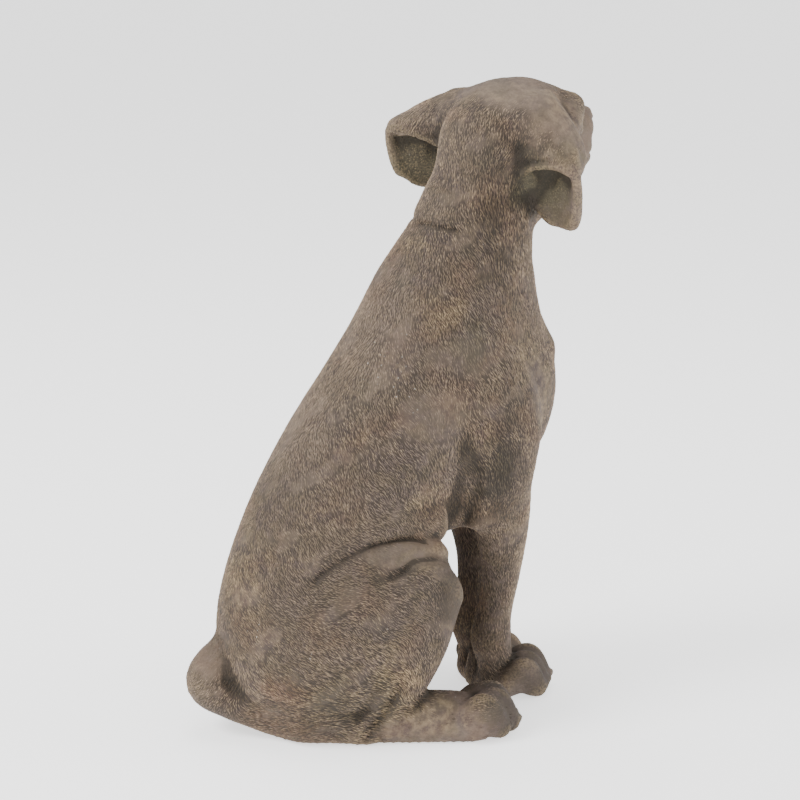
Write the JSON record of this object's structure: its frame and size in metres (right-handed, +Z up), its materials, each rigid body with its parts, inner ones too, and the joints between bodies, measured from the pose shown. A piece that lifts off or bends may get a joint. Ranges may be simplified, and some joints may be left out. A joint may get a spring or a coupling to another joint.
{
  "type": "dog garden statue",
  "caption": "Sitting short-coated retriever cast in one piece, head turned to its left, ears hanging, tail curled on the ground; a garden figure that stands on its own feet and haunches.",
  "frame": {"origin": "on the ground, under the middle of the figure's width and length", "axes": "+Z up from the soles to the crown, -Y the way the dog's body faces, -X its right side"},
  "size_m": [0.2838, 0.4886, 0.6706],
  "materials": {
    "weathered_stone": "matt brown-grey cast surface with carved fur, tan dry-brushing on the ridges and dark grooves"
  },
  "bodies": {
    "root": {"dog_statue": "weathered_stone"}
  },
  "joints": []
}
